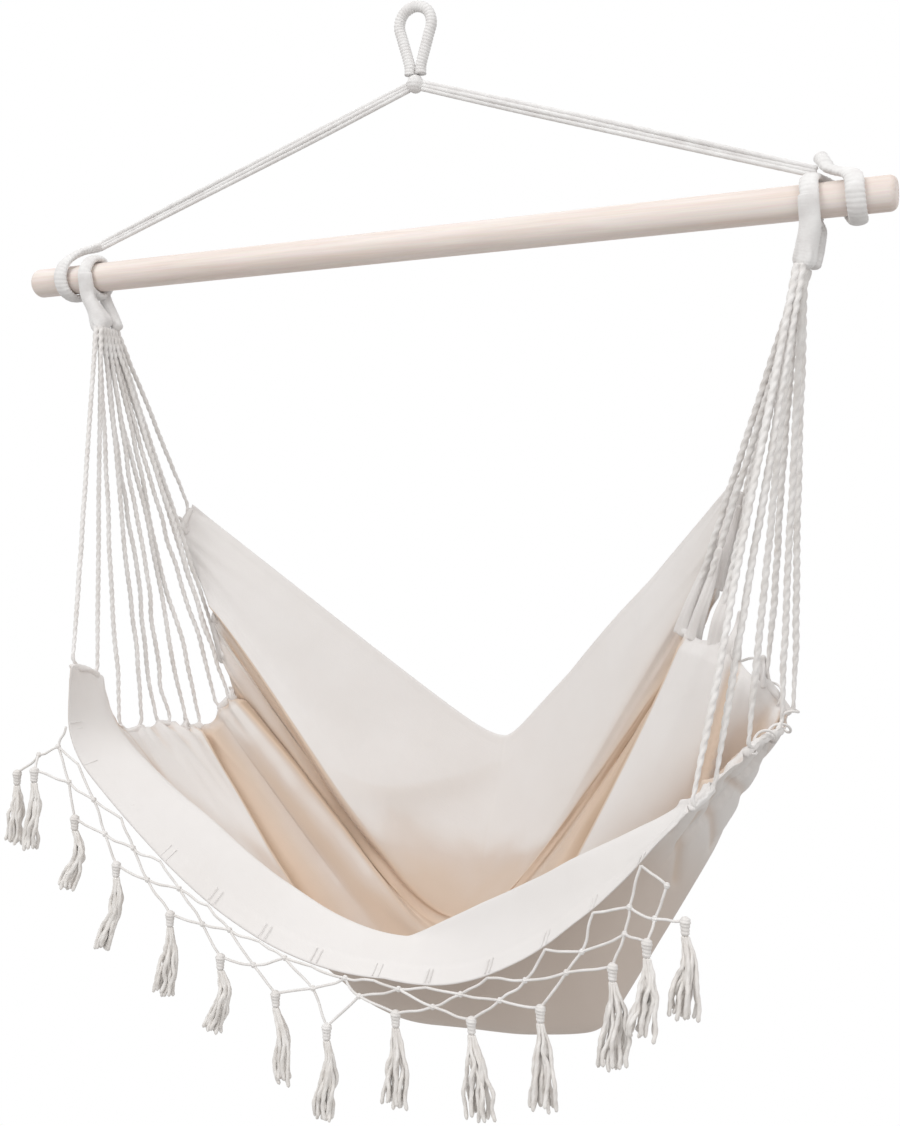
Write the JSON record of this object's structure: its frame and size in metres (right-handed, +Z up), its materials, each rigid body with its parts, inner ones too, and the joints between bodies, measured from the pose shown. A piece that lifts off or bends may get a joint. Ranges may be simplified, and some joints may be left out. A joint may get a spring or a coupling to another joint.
{
  "type": "hammock chair",
  "caption": "Hanging hammock chair: one rope eye and bridle, a round wooden spreader bar, fans of cords and a draped canvas seat with a knotted net and tassels along its front edge.",
  "frame": {"origin": "inside top of the hanging eye, where the hook carries the chair", "axes": "+X along the spreader bar to the sitter's left as seen from the front, -Y the open front with the fringe, +Z up"},
  "size_m": [0.992, 0.3221, 1.1378],
  "materials": {
    "canvas": "natural cotton canvas, plain weave",
    "rope": "whipped and braided cotton rope",
    "cord": "twisted cotton cord",
    "tassel": "loose cotton strands under a wrapped head",
    "wood": "pale sanded hardwood, satin"
  },
  "bodies": {
    "eye": {"hanging_eye": "rope"},
    "swivel": {"bridle_knot": "rope"},
    "bridle": {"bridle_rope_left": "rope", "bridle_rope_right": "rope", "spreader_bar": "wood", "hitch_left": "rope", "hitch_right": "rope"},
    "seat": {"neck_left": "rope", "neck_right": "rope", "cord_left_1": "cord", "cord_left_2": "cord", "cord_left_3": "cord", "cord_left_4": "cord", "cord_left_5": "cord", "cord_left_6": "cord", "cord_left_7": "cord", "cord_right_1": "cord", "cord_right_2": "cord", "cord_right_3": "cord", "cord_right_4": "cord", "cord_right_5": "cord", "cord_right_6": "cord", "cord_right_7": "cord", "hammock_cloth": "canvas", "fringe_net": "cord"},
    "tassel_01": {"tassel_01": "tassel"},
    "tassel_02": {"tassel_02": "tassel"},
    "tassel_03": {"tassel_03": "tassel"},
    "tassel_04": {"tassel_04": "tassel"},
    "tassel_05": {"tassel_05": "tassel"},
    "tassel_06": {"tassel_06": "tassel"},
    "tassel_07": {"tassel_07": "tassel"},
    "tassel_08": {"tassel_08": "tassel"},
    "tassel_09": {"tassel_09": "tassel"},
    "tassel_10": {"tassel_10": "tassel"},
    "tassel_11": {"tassel_11": "tassel"},
    "tassel_12": {"tassel_12": "tassel"},
    "tassel_13": {"tassel_13": "tassel"},
    "tassel_14": {"tassel_14": "tassel"}
  },
  "joints": [
    {"name": "knot_twist", "type": "hinge", "parent": "eye", "child": "swivel", "pos_m": [0, 0, -0.0758], "axis": [0, 0, 1], "range_deg": [-180, 180]},
    {"name": "knot_swing", "type": "hinge", "parent": "swivel", "child": "bridle", "pos_m": [0, 0, -0.0758], "axis": [1, 0, 0], "range_deg": [-30, 30]},
    {"name": "seat_pitch", "type": "hinge", "parent": "bridle", "child": "seat", "pos_m": [-0.013, 0, -0.244], "axis": [1, 0, 0], "range_deg": [-20, 20]},
    {"name": "tassel_swing_01", "type": "hinge", "parent": "seat", "child": "tassel_01", "pos_m": [-0.4108, -0.1414, -0.80691], "axis": [1, 0, 0], "range_deg": [-60, 20]},
    {"name": "tassel_swing_02", "type": "hinge", "parent": "seat", "child": "tassel_02", "pos_m": [-0.3768, -0.1534, -0.80024], "axis": [1, 0, 0], "range_deg": [-60, 20]},
    {"name": "tassel_swing_03", "type": "hinge", "parent": "seat", "child": "tassel_03", "pos_m": [-0.3326, -0.1414, -0.84972], "axis": [1, 0, 0], "range_deg": [-60, 20]},
    {"name": "tassel_swing_04", "type": "hinge", "parent": "seat", "child": "tassel_04", "pos_m": [-0.2782, -0.1414, -0.8942], "axis": [1, 0, 0], "range_deg": [-60, 20]},
    {"name": "tassel_swing_05", "type": "hinge", "parent": "seat", "child": "tassel_05", "pos_m": [-0.2102, -0.1414, -0.93868], "axis": [1, 0, 0], "range_deg": [-60, 20]},
    {"name": "tassel_swing_06", "type": "hinge", "parent": "seat", "child": "tassel_06", "pos_m": [-0.149, -0.1414, -0.97538], "axis": [1, 0, 0], "range_deg": [-60, 20]},
    {"name": "tassel_swing_07", "type": "hinge", "parent": "seat", "child": "tassel_07", "pos_m": [-0.0844, -0.1414, -1.00429], "axis": [1, 0, 0], "range_deg": [-60, 20]},
    {"name": "tassel_swing_08", "type": "hinge", "parent": "seat", "child": "tassel_08", "pos_m": [-0.0266, -0.1414, -1.02876], "axis": [1, 0, 0], "range_deg": [-60, 20]},
    {"name": "tassel_swing_09", "type": "hinge", "parent": "seat", "child": "tassel_09", "pos_m": [0.0482, -0.1414, -1.00596], "axis": [1, 0, 0], "range_deg": [-60, 20]},
    {"name": "tassel_swing_10", "type": "hinge", "parent": "seat", "child": "tassel_10", "pos_m": [0.1264, -0.1414, -1.00151], "axis": [1, 0, 0], "range_deg": [-60, 20]},
    {"name": "tassel_swing_11", "type": "hinge", "parent": "seat", "child": "tassel_11", "pos_m": [0.1944, -0.1414, -0.9815], "axis": [1, 0, 0], "range_deg": [-60, 20]},
    {"name": "tassel_swing_12", "type": "hinge", "parent": "seat", "child": "tassel_12", "pos_m": [0.2624, -0.1414, -0.9359], "axis": [1, 0, 0], "range_deg": [-60, 20]},
    {"name": "tassel_swing_13", "type": "hinge", "parent": "seat", "child": "tassel_13", "pos_m": [0.2964, -0.1504, -0.90866], "axis": [1, 0, 0], "range_deg": [-60, 20]},
    {"name": "tassel_swing_14", "type": "hinge", "parent": "seat", "child": "tassel_14", "pos_m": [0.327, -0.1384, -0.8892], "axis": [1, 0, 0], "range_deg": [-60, 20]}
  ]
}
